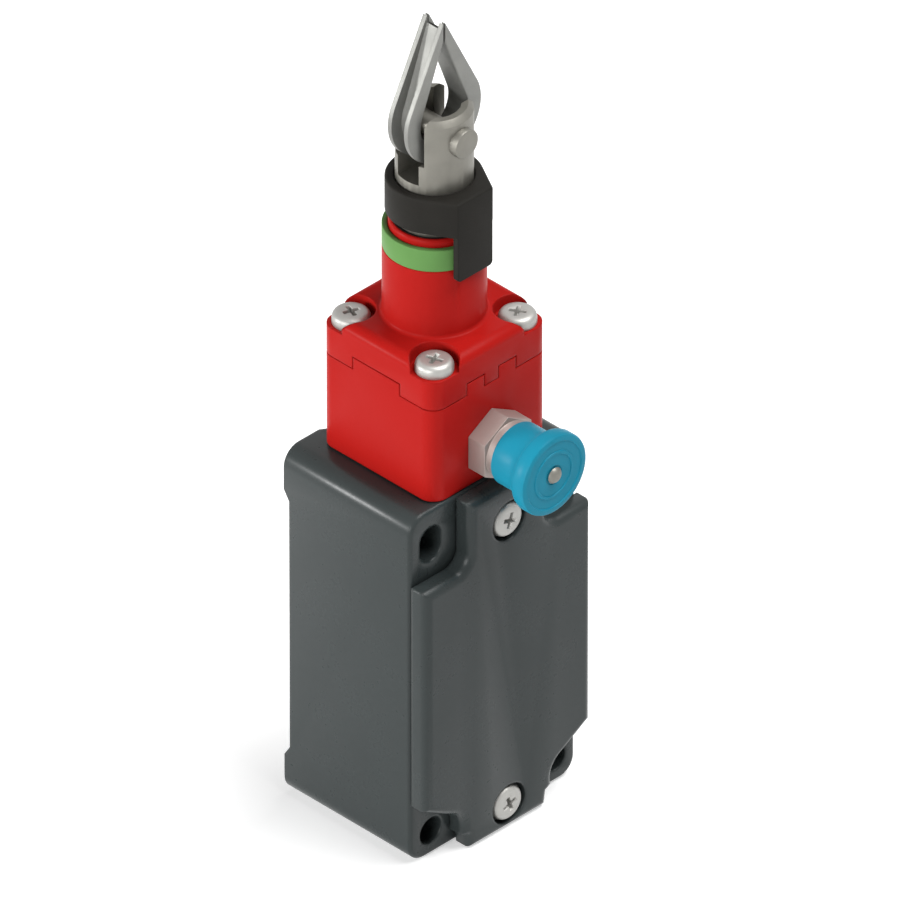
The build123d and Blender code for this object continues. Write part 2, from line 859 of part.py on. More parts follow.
# Wire rope thimble, a channel bent to a drop with its two ends side by side
thimble_inner = thimble_outer - thimble_depth
with BuildPart() as rope_thimble:
    with BuildSketch(facing(head_axis)):
        add(drop(thimble_outer, thimble_apex, 0))
        add(drop(thimble_inner, thimble_eye_apex, 0), mode=Mode.SUBTRACT)
    extrude(amount=thimble_thickness / 2, both=True)
    with BuildSketch(facing(head_axis)):
        add(drop(thimble_outer, thimble_apex, tool_over))
        add(drop(thimble_inner, thimble_eye_apex, thimble_wall), mode=Mode.SUBTRACT)
    extrude(amount=thimble_thickness / 2 - thimble_wall, both=True, mode=Mode.SUBTRACT)
    with BuildSketch(facing(head_axis)):
        with Locations((0, thimble_apex)):
            Rectangle(thimble_split, 2 * (thimble_apex - thimble_eye_apex + thimble_split))
    extrude(amount=thimble_thickness / 2, both=True, mode=Mode.SUBTRACT)
    eye_rim = rope_thimble.faces().filter_by(Axis.Y).sort_by(SortBy.AREA)[-2:].edges()
    bore = eye_rim.filter_by(GeomType.CIRCLE).sort_by(SortBy.RADIUS)
    fillet(bore[:2], thimble_round)

rope_thimble.part.label = "rope_thimble"
export_step(rope_thimble.part, "parts/rope_thimble.step")

# Pull rod, screwed into the clevis and grooved for its retaining ring
rod_high = clevis_low + rod_engagement - screw_tip_gap
groove_high = spring_seat_low
groove_low = groove_high - ring_thickness
with BuildPart() as pull_rod:
    with BuildSketch(across(rod_low)):
        Circle(rod_radius)
    extrude(amount=rod_high - rod_low)
    chamfer(pull_rod.faces().sort_by(Axis.Z)[0].edges(), edge_break)
    with BuildSketch(across(groove_low)):
        Circle(rod_radius + tool_over)
        Circle(rod_radius - ring_groove_depth, mode=Mode.SUBTRACT)
    extrude(amount=ring_thickness, mode=Mode.SUBTRACT)

pull_rod.part.label = "pull_rod"
export_step(pull_rod.part, "parts/pull_rod.step")

# Spring seat washer on the rod
with BuildPart() as spring_seat:
    with BuildSketch(across(spring_seat_low)):
        Circle(spring_seat_radius)
        Circle(rod_radius + snug_play, mode=Mode.SUBTRACT)
    extrude(amount=spring_seat_thickness)

spring_seat.part.label = "spring_seat"
export_step(spring_seat.part, "parts/spring_seat.step")

# Open retaining ring under the spring seat
with BuildPart() as retaining_ring:
    with BuildSketch(across(groove_low)):
        Circle(ring_radius)
        Circle(rod_radius - ring_groove_depth + snug_play, mode=Mode.SUBTRACT)
        with Locations((0, ring_radius / 2)):
            Rectangle(2 * (rod_radius - ring_groove_depth), ring_radius, mode=Mode.SUBTRACT)
    extrude(amount=ring_thickness)

retaining_ring.part.label = "retaining_ring"
export_step(retaining_ring.part, "parts/retaining_ring.step")

# Main spring that draws the rod back into the head
main_spring_low = spring_seat_low + spring_seat_thickness
with BuildPart() as main_spring:
    with Locations((0, -head_axis, 0)):
        add(spring(main_coil_radius, main_spring_low, guide_low, main_turns, main_wire))

main_spring.part.label = "main_spring"
export_step(main_spring.part, "parts/main_spring.step")

# Hexagonal reset bush screwed into the head box
head_front = head_axis + head_depth / 2
bush_neck_front = head_front + hex_length + bush_neck_length
with BuildPart() as reset_bush:
    with BuildSketch(facing(head_front)):
        with Locations((0, knob_height)):
            RegularPolygon(hex_across_flats / 2, 6, major_radius=False, rotation=30)
    extrude(amount=hex_length)
    with BuildSketch(facing(head_front + hex_length)):
        with Locations((0, knob_height)):
            Circle(bush_neck_radius)
    extrude(amount=bush_neck_length)
    with BuildSketch(facing(head_front)):
        with Locations((0, knob_height)):
            Circle(bush_thread_radius)
    extrude(amount=-(head_front - bush_inner_end))
    with BuildSketch(facing(bush_inner_end)):
        with Locations((0, knob_height)):
            Circle(bush_pocket_radius)
    extrude(amount=bush_neck_front - bush_end_wall - bush_inner_end, mode=Mode.SUBTRACT)
    with BuildSketch(facing(bush_inner_end)):
        with Locations((0, knob_height)):
            Circle(shaft_radius + shaft_play)
    extrude(amount=bush_neck_front - bush_inner_end, mode=Mode.SUBTRACT)

reset_bush.part.label = "reset_bush"
export_step(reset_bush.part, "parts/reset_bush.step")

# Blue knob, turned about the shaft: body, flare and flange
knob_back = bush_neck_front + knob_gap
knob_face = knob_back + knob_length
flange_back = knob_face - knob_flange_length
with BuildPart() as reset_knob:
    with BuildSketch(Plane((0, 0, knob_height), x_dir=(1, 0, 0), z_dir=(0, 0, -1))):
        with BuildLine():
            Line((shaft_radius + snug_play, knob_back), (knob_body_radius, knob_back))
            Line((knob_body_radius, knob_back), (knob_body_radius, knob_back + knob_body_length))
            RadiusArc(
                (knob_body_radius, knob_back + knob_body_length),
                (knob_flange_radius, flange_back),
                5.0,
            )
            Line((knob_flange_radius, flange_back), (knob_flange_radius, knob_face))
            Line((knob_flange_radius, knob_face), (shaft_tail_radius + snug_play, knob_face))
            Line(
                (shaft_tail_radius + snug_play, knob_face),
                (shaft_tail_radius + snug_play, knob_face - shaft_tail_length),
            )
            Line(
                (shaft_tail_radius + snug_play, knob_face - shaft_tail_length),
                (shaft_radius + snug_play, knob_face - shaft_tail_length),
            )
            Line(
                (shaft_radius + snug_play, knob_face - shaft_tail_length),
                (shaft_radius + snug_play, knob_back),
            )
        make_face()
    revolve(axis=knob_axis_line)
    rim = reset_knob.edges().filter_by(GeomType.CIRCLE).filter_by(
        lambda edge: edge.radius > knob_flange_radius - 0.01
    )
    fillet(rim.sort_by(Axis.Y)[0], knob_rim_round)

reset_knob.part.label = "reset_knob"
export_step(reset_knob.part, "parts/reset_knob.step")

# Shaft of the knob: nose, shoulder for the spring, and riveted tail
shaft_step = knob_face - shaft_tail_length
with BuildPart() as reset_shaft:
    with BuildSketch(Plane((0, 0, knob_height), x_dir=(1, 0, 0), z_dir=(0, 0, -1))):
        with BuildLine():
            Polyline(
                (0, shaft_nose_end),
                (shaft_radius - shaft_nose_cone, shaft_nose_end),
                (shaft_radius, shaft_nose_end + shaft_nose_slope),
                (shaft_radius, shaft_shoulder_front - shaft_shoulder_length),
                (shaft_shoulder_radius, shaft_shoulder_front - shaft_shoulder_length),
                (shaft_shoulder_radius, shaft_shoulder_front),
                (shaft_radius, shaft_shoulder_front),
                (shaft_radius, shaft_step - shaft_play),
                (shaft_tail_radius, shaft_step - shaft_play),
                (shaft_tail_radius, knob_face),
                (rivet_radius, knob_face),
            )
            ThreePointArc(
                (rivet_radius, knob_face),
                dome_point(rivet_radius, knob_face, knob_face + rivet_height),
                (0, knob_face + rivet_height),
            )
            Line((0, knob_face + rivet_height), (0, shaft_nose_end))
        make_face()
    revolve(axis=knob_axis_line)

reset_shaft.part.label = "reset_shaft"
export_step(reset_shaft.part, "parts/reset_shaft.step")

# Spring that draws the knob home
reset_spring_high = bush_neck_front - bush_end_wall
with BuildPart() as reset_spring:
    with Locations(Plane((0, 0, knob_height), x_dir=(1, 0, 0), z_dir=(0, -1, 0))):
        add(
            spring(
                reset_coil_radius,
                shaft_shoulder_front,
                reset_spring_high,
                reset_turns,
                reset_wire,
            )
        )

reset_spring.part.label = "reset_spring"
export_step(reset_spring.part, "parts/reset_spring.step")

# Trip slider under the rod, notched for the nose of the reset shaft
slider_low = head_floor_top + slider_gap
with BuildPart() as trip_slider:
    with BuildSketch(across(slider_low)):
        Circle(slider_radius)
        with Locations((0, -slider_radius + (slider_notch_depth - tool_over) / 2)):
            Rectangle(
                2 * (shaft_shoulder_radius + slider_notch_play),
                slider_notch_depth + tool_over,
                mode=Mode.SUBTRACT,
            )
    extrude(amount=slider_thickness)
    with BuildSketch(across(slider_foot)):
        Circle(slider_stem_radius)
    extrude(amount=slider_low - slider_foot)
    chamfer(trip_slider.faces().sort_by(Axis.Z)[0].edges(), edge_break)

trip_slider.part.label = "trip_slider"
export_step(trip_slider.part, "parts/trip_slider.step")

# Contact block with its chamber, terminal pockets and plunger channel
block_mid = (block_low + block_high) / 2
block_height = block_high - block_low
with BuildPart() as contact_block:
    with BuildSketch(facing(block_back)):
        with Locations((0, block_mid)):
            RectangleRounded(block_width, block_height, block_corner)
    extrude(amount=block_front - block_back)
    with BuildSketch(facing(block_front)):
        with Locations((0, (chamber_low + chamber_high) / 2)):
            Rectangle(chamber_width, chamber_high - chamber_low)
    extrude(amount=-(block_front - chamber_back), mode=Mode.SUBTRACT)
    with BuildSketch(facing(block_front)):
        for x, z in terminal_places:
            outer = block_high if z > block_mid else block_low
            inner = chamber_high if z > block_mid else chamber_low
            with Locations((x, (outer + inner) / 2)):
                Rectangle(terminal_pocket, abs(outer - inner))
    extrude(amount=-(block_front - terminal_floor), mode=Mode.SUBTRACT)
    with BuildSketch(facing(terminal_floor)):
        with Locations(*terminal_places):
            Circle(terminal_screw_radius + screw_play)
    extrude(amount=-(terminal_floor - terminal_screw_reach + thread_runout), mode=Mode.SUBTRACT)
    with BuildSketch(across(plunger_low - plunger_stop_gap)):
        Rectangle(plunger_width + 2 * plunger_play, plunger_depth + 2 * plunger_play)
    extrude(amount=block_high - plunger_low + plunger_stop_gap, mode=Mode.SUBTRACT)
    with BuildSketch(across(return_pocket_low)):
        Circle(return_pocket_radius)
    extrude(amount=plunger_low - return_pocket_low, mode=Mode.SUBTRACT)
    with BuildSketch(facing(block_back)):
        with Locations(*block_screw_places):
            Circle(block_screw_radius + block_hole_play)
    extrude(amount=chamber_back - block_back, mode=Mode.SUBTRACT)

contact_block.part.label = "contact_block"
export_step(contact_block.part, "parts/contact_block.step")

# Two screws that hold the contact block to the housing
with BuildPart() as block_screws:
    for x, z in block_screw_places:
        with BuildSketch(facing(chamber_back)):
            with Locations((x, z)):
                Circle(block_screw_head)
        extrude(amount=block_screw_head_height)
        with BuildSketch(facing(chamber_back)):
            with Locations((x, z)):
                Circle(block_screw_radius)
        extrude(amount=-(chamber_back - pad_relief - blind_wall - screw_tip_gap))

block_screws.part.label = "block_screws"
export_step(block_screws.part, "parts/block_screws.step")

# Clear plate over the contact chamber
with BuildPart() as chamber_plate:
    with BuildSketch(facing(block_front)):
        with Locations((0, (chamber_low + chamber_high) / 2)):
            RectangleRounded(block_width - tool_over, chamber_high - chamber_low, block_corner)
    extrude(amount=front_plate_thickness)

chamber_plate.part.label = "chamber_plate"
export_step(chamber_plate.part, "parts/chamber_plate.step")

# Fixed contacts: a tongue in the chamber with a contact pad, and a leg in the terminal pocket
with BuildPart() as fixed_contacts:
    for x, z in terminal_places:
        upper = z > block_mid
        wall = chamber_high if upper else chamber_low
        tongue_side = wall - plate_thickness if upper else wall + plate_thickness
        pad_side = tongue_side - rivet_pad_height if upper else tongue_side + rivet_pad_height
        leg_end = block_high - contact_leg_inset if upper else block_low + contact_leg_inset
        with BuildSketch(Plane.YZ.offset(x - plate_width / 2)):
            with BuildLine():
                Polyline(
                    (-plate_tip, wall),
                    (-plate_tip, tongue_side),
                    (-terminal_floor - plate_thickness, tongue_side),
                    (-terminal_floor - plate_thickness, leg_end),
                    (-terminal_floor, leg_end),
                    (-terminal_floor, wall),
                    close=True,
                )
            make_face()
        extrude(amount=plate_width)
        with BuildSketch(Plane.XY.offset(tongue_side)):
            with Locations((x, -head_axis)):
                Circle(rivet_pad_radius)
        extrude(amount=pad_side - tongue_side)
    with BuildSketch(facing(terminal_floor)):
        with Locations(*terminal_places):
            Circle(terminal_screw_radius + screw_play)
    extrude(amount=plate_thickness, mode=Mode.SUBTRACT)

fixed_contacts.part.label = "fixed_contacts"
export_step(fixed_contacts.part, "parts/fixed_contacts.step")

# Saddles that clamp the wires
saddle_back = terminal_floor + plate_thickness
with BuildPart() as terminal_saddles:
    with BuildSketch(facing(saddle_back)):
        with Locations(*terminal_places):
            RectangleRounded(plate_width, plate_width, plate_corner)
            Circle(terminal_screw_radius + screw_play, mode=Mode.SUBTRACT)
    extrude(amount=saddle_thickness)

terminal_saddles.part.label = "terminal_saddles"
export_step(terminal_saddles.part, "parts/terminal_saddles.step")

# Terminal screws with slotted heads
screw_seat = saddle_back + saddle_thickness
with BuildPart() as terminal_screws:
    with BuildSketch(facing(screw_seat)):
        with Locations(*terminal_places):
            Circle(terminal_screw_head)
    extrude(amount=terminal_screw_head_height)
    with BuildSketch(facing(screw_seat + terminal_screw_head_height)):
        with Locations(*terminal_places):
            Rectangle(2 * terminal_screw_head, slot_width)
    extrude(amount=-slot_depth, mode=Mode.SUBTRACT)
    with BuildSketch(facing(screw_seat)):
        with Locations(*terminal_places):
            Circle(terminal_screw_radius)
    extrude(amount=-(screw_seat - terminal_screw_reach))

terminal_screws.part.label = "terminal_screws"
export_step(terminal_screws.part, "parts/terminal_screws.step")

# Contact plunger with a window for each bridge and a stem under the slider's foot
upper_pad = chamber_high - plate_thickness - rivet_pad_height
lower_pad = chamber_low + plate_thickness + rivet_pad_height
upper_bridge_top = upper_pad - contact_gap - slider_travel - rivet_pad_height
lower_bridge_low = lower_pad + contact_gap + rivet_pad_height
plunger_stem_top = slider_foot
with BuildPart() as contact_plunger:
    with BuildSketch(across(plunger_low)):
        Rectangle(plunger_width, plunger_depth)
    extrude(amount=plunger_shoulder - plunger_low)
    with BuildSketch(across(plunger_shoulder)):
        Circle(plunger_stem_radius)
    extrude(amount=plunger_stem_top - plunger_shoulder)
    with BuildSketch(Plane.YZ.offset(-plunger_width)):
        for low in (lower_bridge_low, upper_bridge_top - window_height):
            with Locations((-head_axis, low + window_height / 2)):
                Rectangle(bridge_width + 2 * plunger_play, window_height)
    extrude(amount=2 * plunger_width, mode=Mode.SUBTRACT)

contact_plunger.part.label = "contact_plunger"
export_step(contact_plunger.part, "parts/contact_plunger.step")


def bridge(low, side):
    """Contact bridge whose lower face stands at a height, with its pads on one side."""
    with BuildPart() as shape:
        with BuildSketch(across(low)):
            SlotOverall(bridge_length + bridge_width, bridge_width)
        extrude(amount=bridge_thickness)
        with BuildSketch(across(low + bridge_thickness) if side > 0 else across(low)):
            with Locations((-terminal_spacing / 2, 0), (terminal_spacing / 2, 0)):
                Circle(rivet_pad_radius)
        extrude(amount=side * rivet_pad_height)
    return shape.part


# Bridge of the safety contact, below its fixed contacts
with BuildPart() as safety_bridge:
    add(bridge(upper_bridge_top - bridge_thickness, 1))

safety_bridge.part.label = "safety_bridge"
export_step(safety_bridge.part, "parts/safety_bridge.step")

# Bridge of the signal contact, above its fixed contacts
with BuildPart() as signal_bridge:
    add(bridge(lower_bridge_low, -1))

signal_bridge.part.label = "signal_bridge"
export_step(signal_bridge.part, "parts/signal_bridge.step")

# Contact springs inside the plunger's windows
spring_spans = [
    (upper_bridge_top - window_height, upper_bridge_top - bridge_thickness),
    (lower_bridge_low + bridge_thickness, lower_bridge_low + window_height),
]
with BuildPart() as contact_springs:
    with Locations((0, -head_axis, 0)):
        for low, high in spring_spans:
            add(spring(contact_coil_radius, low, high, contact_turns, contact_wire))

contact_springs.part.label = "contact_springs"
export_step(contact_springs.part, "parts/contact_springs.step")

# Return spring under the plunger
with BuildPart() as return_spring:
    with Locations((0, -head_axis, 0)):
        add(
            spring(return_coil_radius, return_pocket_low, plunger_low, return_turns, return_wire)
        )

return_spring.part.label = "return_spring"
export_step(return_spring.part, "parts/return_spring.step")

# Earth screw with its cupped washer
earth_seat = back_wall + earth_boss_height
with BuildPart() as earth_washer:
    with BuildSketch(facing(earth_seat)):
        with Locations((earth_x, earth_z)):
            Circle(earth_washer_radius)
            Circle(earth_screw_radius + screw_play, mode=Mode.SUBTRACT)
    extrude(amount=earth_washer_thickness)

earth_washer.part.label = "earth_washer"
export_step(earth_washer.part, "parts/earth_washer.step")

with BuildPart() as earth_screw:
    seat = earth_seat + earth_washer_thickness
    with BuildSketch(Plane((earth_x, -seat, earth_z), x_dir=(1, 0, 0), z_dir=(0, 0, -1))):
        add(pan_section.sketch)
    revolve(axis=Axis((earth_x, 0, earth_z), (0, -1, 0)))
    with BuildSketch(facing(seat)):
        with Locations((earth_x, earth_z)):
            Circle(earth_screw_radius)
    extrude(amount=-(seat - pad_relief - blind_wall - screw_tip_gap))

earth_screw.part.label = "earth_screw"
export_step(earth_screw.part, "parts/earth_screw.step")
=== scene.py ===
import json
from math import cos, pi, radians, sin, sqrt

import bmesh
import bpy
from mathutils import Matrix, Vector


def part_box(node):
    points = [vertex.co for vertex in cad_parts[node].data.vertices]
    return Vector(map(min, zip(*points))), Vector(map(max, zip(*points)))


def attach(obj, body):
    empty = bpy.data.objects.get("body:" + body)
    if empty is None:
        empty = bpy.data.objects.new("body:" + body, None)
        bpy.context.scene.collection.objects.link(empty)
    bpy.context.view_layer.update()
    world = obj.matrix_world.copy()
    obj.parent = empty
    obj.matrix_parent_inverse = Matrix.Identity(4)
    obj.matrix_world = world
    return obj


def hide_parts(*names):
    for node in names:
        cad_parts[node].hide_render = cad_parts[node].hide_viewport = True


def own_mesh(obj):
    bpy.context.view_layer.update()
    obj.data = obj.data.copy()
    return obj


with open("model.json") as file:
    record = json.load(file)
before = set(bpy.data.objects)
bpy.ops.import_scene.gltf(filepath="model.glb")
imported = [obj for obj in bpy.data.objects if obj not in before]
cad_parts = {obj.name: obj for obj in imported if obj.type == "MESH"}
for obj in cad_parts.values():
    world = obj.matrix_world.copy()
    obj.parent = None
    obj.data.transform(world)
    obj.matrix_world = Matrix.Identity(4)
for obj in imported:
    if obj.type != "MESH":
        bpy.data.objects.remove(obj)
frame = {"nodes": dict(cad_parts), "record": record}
mm = 0.001


def noteSize():
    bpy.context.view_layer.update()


noteSize()
print("frame loaded:", len(frame["nodes"]), "nodes")


# Shader nodes, values and finishes
def addNode(tree, kind, inputs=None, **settings):
    made = tree.nodes.new(kind)
    for key, value in settings.items():
        setattr(made, key, value)
    for key, value in (inputs or {}).items():
        if isinstance(value, Value):
            tree.links.new(value.socket, made.inputs[key])
        elif isinstance(value, bpy.types.NodeSocket):
            tree.links.new(value, made.inputs[key])
        else:
            made.inputs[key].default_value = value
    return made


class Value:
    def __init__(self, tree, socket):
        self.tree = tree
        self.socket = socket

    def math(self, operation, other, clamp=False):
        made = addNode(
            self.tree, "ShaderNodeMath", {0: self, 1: other}, operation=operation, use_clamp=clamp
        )
        return Value(self.tree, made.outputs[0])

    def __add__(self, other):
        return self.math("ADD", other)

    def __sub__(self, other):
        return self.math("SUBTRACT", other)

    def __mul__(self, other):
        return self.math("MULTIPLY", other)

    def __rsub__(self, other):
        return self * -1.0 + other

    __radd__ = __add__
    __rmul__ = __mul__


class Finish:
    def __init__(self, name, colour, roughness, metallic=0.0, **constants):
        self.material = bpy.data.materials.new(name)
        self.material.use_nodes = True
        self.tree = self.material.node_tree
        self.shader = self.tree.nodes["Principled BSDF"]
        self.colour = colour
        self.shader.inputs["Base Color"].default_value = (*colour, 1.0)
        self.shader.inputs["Roughness"].default_value = roughness
        self.shader.inputs["Metallic"].default_value = metallic
        for key, value in constants.items():
            self.shader.inputs[key.replace("_", " ")].default_value = value
        self.coordinates = self.node("ShaderNodeTexCoord").outputs["Object"]

    def node(self, kind, inputs=None, **settings):
        return addNode(self.tree, kind, inputs, **settings)

    def noise(self, size, stretch=(1.0, 1.0, 1.0), detail=2.0):
        placed = self.node("ShaderNodeMapping", {"Vector": self.coordinates, "Scale": stretch})
        grain = self.node(
            "ShaderNodeTexNoise",
            {"Vector": placed.outputs[0], "Scale": 1.0 / size, "Detail": detail},
        )
        return Value(self.tree, grain.outputs["Fac"])

    def cells(self, size):
        grain = self.node("ShaderNodeTexVoronoi", {"Vector": self.coordinates, "Scale": 1.0 / size})
        return Value(self.tree, grain.outputs["Distance"])

    def tint(self, amount, other):
        share = amount.math("ADD", 0.0, clamp=True)
        mixed = self.node(
            "ShaderNodeMix",
            {0: share, 6: (*self.colour, 1.0), 7: (*other, 1.0)},
            data_type="RGBA",
        )
        self.tree.links.new(mixed.outputs[2], self.shader.inputs["Base Color"])

    def rough(self, value):
        self.tree.links.new(value.socket, self.shader.inputs["Roughness"])

    def bump(self, height, depth, edge=0.0):
        raised = self.node("ShaderNodeBump", {"Height": height, "Distance": depth})
        if edge:
            rounded = self.node("ShaderNodeBevel", {"Radius": edge}, samples=8)
            self.tree.links.new(rounded.outputs[0], raised.inputs["Normal"])
        self.tree.links.new(raised.outputs[0], self.shader.inputs["Normal"])


def paint(name, colour, darker, roughness, gloss, peel, peelDepth, edge):
    finish = Finish(name, colour, roughness, Specular_IOR_Level=gloss)
    patches = finish.noise(9 * mm, detail=3.0)
    grains = finish.noise(peel)
    finish.tint((patches - 0.5) * 0.8 + (grains - 0.5) * 0.4 + 0.3, darker)
    finish.rough(grains * 0.08 + patches * 0.12 + (roughness - 0.10))
    finish.bump(grains, peelDepth, edge)
    return finish.material


def metal(name, colour, stain, roughness, stretch, depth, shine=1.0):
    finish = Finish(name, colour, roughness, shine)
    lines = finish.noise(0.25 * mm, stretch, 3.0)
    clouds = finish.noise(4 * mm, detail=3.0)
    finish.tint((clouds - 0.42) * 1.6, stain)
    finish.rough(lines * 0.22 + clouds * 0.12 + (roughness - 0.16))
    finish.bump(lines, depth)
    return finish.material


def plastic(name, colour, other, roughness, grain, depth):
    finish = Finish(name, colour, roughness, Specular_IOR_Level=0.07)
    fine = finish.noise(grain, detail=3.0)
    clouds = finish.noise(6 * mm)
    finish.tint((clouds - 0.4) * 1.2, other)
    finish.rough(fine * 0.2 + clouds * 0.08 + (roughness - 0.13))
    finish.bump(fine, depth)
    return finish.material


def rubber(name, colour, other):
    finish = Finish(name, colour, 0.75, Specular_IOR_Level=0.2)
    speckle = finish.cells(0.5 * mm)
    dust = finish.noise(2.5 * mm, detail=4.0)
    finish.tint((dust - 0.45) * 1.5, other)
    finish.rough(dust * 0.2 + 0.6)
    finish.bump(speckle, 0.04 * mm)
    return finish.material


# Tool marks run level round an upright piece, upright, or across it
level = (1.0, 1.0, 8.0)
upright = (8.0, 8.0, 1.0)
across = (1.0, 8.0, 1.0)
even = (1.0, 1.0, 1.0)

paints = {
    "housing_paint": {
        "colour": (0.031, 0.038, 0.038),
        "darker": (0.026, 0.032, 0.032),
        "roughness": 0.29,
        "gloss": 0.20,
        "peel": 1.1 * mm,
        "peelDepth": 0.006 * mm,
        "edge": 0.7 * mm,
    },
    "head_red": {
        "colour": (0.385, 0.010, 0.008),
        "darker": (0.345, 0.009, 0.007),
        "roughness": 0.36,
        "gloss": 0.05,
        "peel": 0.8 * mm,
        "peelDepth": 0.008 * mm,
        "edge": 0.4 * mm,
    },
}
metals = {
    "stainless": {
        "colour": (0.205, 0.198, 0.173),
        "stain": (0.165, 0.158, 0.138),
        "roughness": 0.40,
        "stretch": level,
        "depth": 0.008 * mm,
        "shine": 0.75,
    },
    "thimble_steel": {
        "colour": (0.225, 0.226, 0.212),
        "stain": (0.180, 0.180, 0.170),
        "roughness": 0.50,
        "stretch": across,
        "depth": 0.01 * mm,
        "shine": 0.65,
    },
    "screw_zinc": {
        "colour": (0.385, 0.380, 0.360),
        "stain": (0.310, 0.304, 0.286),
        "roughness": 0.42,
        "stretch": level,
        "depth": 0.006 * mm,
        "shine": 0.55,
    },
    "nickel": {
        "colour": (0.350, 0.290, 0.267),
        "stain": (0.290, 0.240, 0.220),
        "roughness": 0.45,
        "stretch": across,
        "depth": 0.006 * mm,
        "shine": 0.55,
    },
    "spring_steel": {
        "colour": (0.330, 0.330, 0.335),
        "stain": (0.220, 0.215, 0.210),
        "roughness": 0.30,
        "stretch": even,
        "depth": 0.004 * mm,
    },
    "bronze": {
        "colour": (0.520, 0.340, 0.170),
        "stain": (0.300, 0.190, 0.095),
        "roughness": 0.50,
        "stretch": even,
        "depth": 0.03 * mm,
    },
    "contact_brass": {
        "colour": (0.700, 0.500, 0.210),
        "stain": (0.520, 0.350, 0.140),
        "roughness": 0.32,
        "stretch": upright,
        "depth": 0.006 * mm,
    },
}
plastics = {
    "band_green": {
        "colour": (0.115, 0.255, 0.074),
        "other": (0.095, 0.215, 0.060),
        "roughness": 0.42,
        "grain": 0.3 * mm,
        "depth": 0.008 * mm,
    },
    "collar_black": {
        "colour": (0.016, 0.015, 0.013),
        "other": (0.023, 0.021, 0.018),
        "roughness": 0.55,
        "grain": 0.25 * mm,
        "depth": 0.02 * mm,
    },
    "knob_blue": {
        "colour": (0.012, 0.220, 0.325),
        "other": (0.010, 0.190, 0.285),
        "roughness": 0.36,
        "grain": 0.35 * mm,
        "depth": 0.006 * mm,
    },
    "block_plastic": {
        "colour": (0.030, 0.031, 0.034),
        "other": (0.045, 0.046, 0.050),
        "roughness": 0.55,
        "grain": 0.3 * mm,
        "depth": 0.02 * mm,
    },
    "clear_plastic": {
        "colour": (0.600, 0.650, 0.680),
        "other": (0.520, 0.580, 0.620),
        "roughness": 0.28,
        "grain": 0.8 * mm,
        "depth": 0.006 * mm,
    },
    "slider_plastic": {
        "colour": (0.640, 0.620, 0.560),
        "other": (0.540, 0.520, 0.460),
        "roughness": 0.45,
        "grain": 0.3 * mm,
        "depth": 0.01 * mm,
    },
}
looks = {"seal_rubber": rubber("seal_rubber", (0.018, 0.018, 0.018), (0.035, 0.035, 0.034))}
for make, recipes in ((paint, paints), (metal, metals), (plastic, plastics)):
    for name, recipe in recipes.items():
        looks[name] = make(name, **recipe)
slotOf = {entry["node"]: entry["material_slot"] for entry in frame["record"]["subparts"]}
for name, node in frame["nodes"].items():
    node.data.materials.clear()
    node.data.materials.append(looks[slotOf[name]])
print("finishes made:", len(looks))


# Shared modelling steps
def deselectAll():
    if bpy.context.mode != "OBJECT":
        bpy.ops.object.mode_set(mode="OBJECT")
    bpy.ops.object.select_all(action="DESELECT")


def choose(piece):
    deselectAll()
    piece.select_set(True)
    bpy.context.view_layer.objects.active = piece


def pick(piece, kind, test):
    bpy.ops.mesh.select_all(action="DESELECT")
    mesh = bmesh.from_edit_mesh(piece.data)
    for element in getattr(mesh, kind):
        if test(element):
            element.select_set(True)
    bmesh.update_edit_mesh(piece.data)


def applyAll(piece):
    choose(piece)
    for modifier in list(piece.modifiers):
        bpy.ops.object.modifier_apply(modifier=modifier.name)


def breakEdges(piece, width, segments, angle):
    edge = piece.modifiers.new("edge", "BEVEL")
    edge.width = width
    edge.segments = segments
    edge.limit_method = "ANGLE"
    edge.angle_limit = radians(angle)
    edge.use_clamp_overlap = True
    applyAll(piece)


def cutAway(piece, tool):
    cut = piece.modifiers.new("cut", "BOOLEAN")
    cut.operation = "DIFFERENCE"
    cut.solver = "EXACT"
    cut.object = tool
    applyAll(piece)
    bpy.data.objects.remove(tool)


def settle(piece, look, body, node, smooth):
    choose(piece)
    bpy.ops.object.transform_apply(location=True, rotation=True, scale=True)
    bpy.ops.object.shade_smooth_by_angle(angle=radians(smooth))
    piece.data.materials.clear()
    piece.data.materials.append(looks[look])
    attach(piece, body)
    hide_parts(node)


def bodyOf(name):
    bodies = frame["record"]["behaviour"]["bodies"]
    return next(body for body, members in bodies.items() if name in members)


def copyOf(name):
    choose(frame["nodes"][name])
    bpy.ops.object.duplicate()
    piece = bpy.context.view_layer.objects.active
    piece.parent = None
    piece.name = name + "_finish"
    return piece


# Castings and moulded pieces with their edges rounded
edgeWidths = {
    "housing_base": 0.45 * mm,
    "front_cover": 0.45 * mm,
    "head_box": 0.30 * mm,
    "head_cap": 0.28 * mm,
    "tension_band": 0.20 * mm,
    "reset_bush": 0.18 * mm,
    "indicator_collar": 0.20 * mm,
    "rope_thimble": 0.22 * mm,
}
for name, width in edgeWidths.items():
    piece = copyOf(name)
    bpy.ops.object.mode_set(mode="EDIT")
    bpy.ops.mesh.select_all(action="SELECT")
    bpy.ops.mesh.remove_doubles(threshold=0.004 * mm)
    bpy.ops.mesh.dissolve_limited(angle_limit=radians(0.6))
    bpy.ops.object.mode_set(mode="OBJECT")
    breakEdges(piece, width, segments=3, angle=30)
    settle(piece, slotOf[name], bodyOf(name), name, smooth=35)
print("castings finished:", len(edgeWidths))

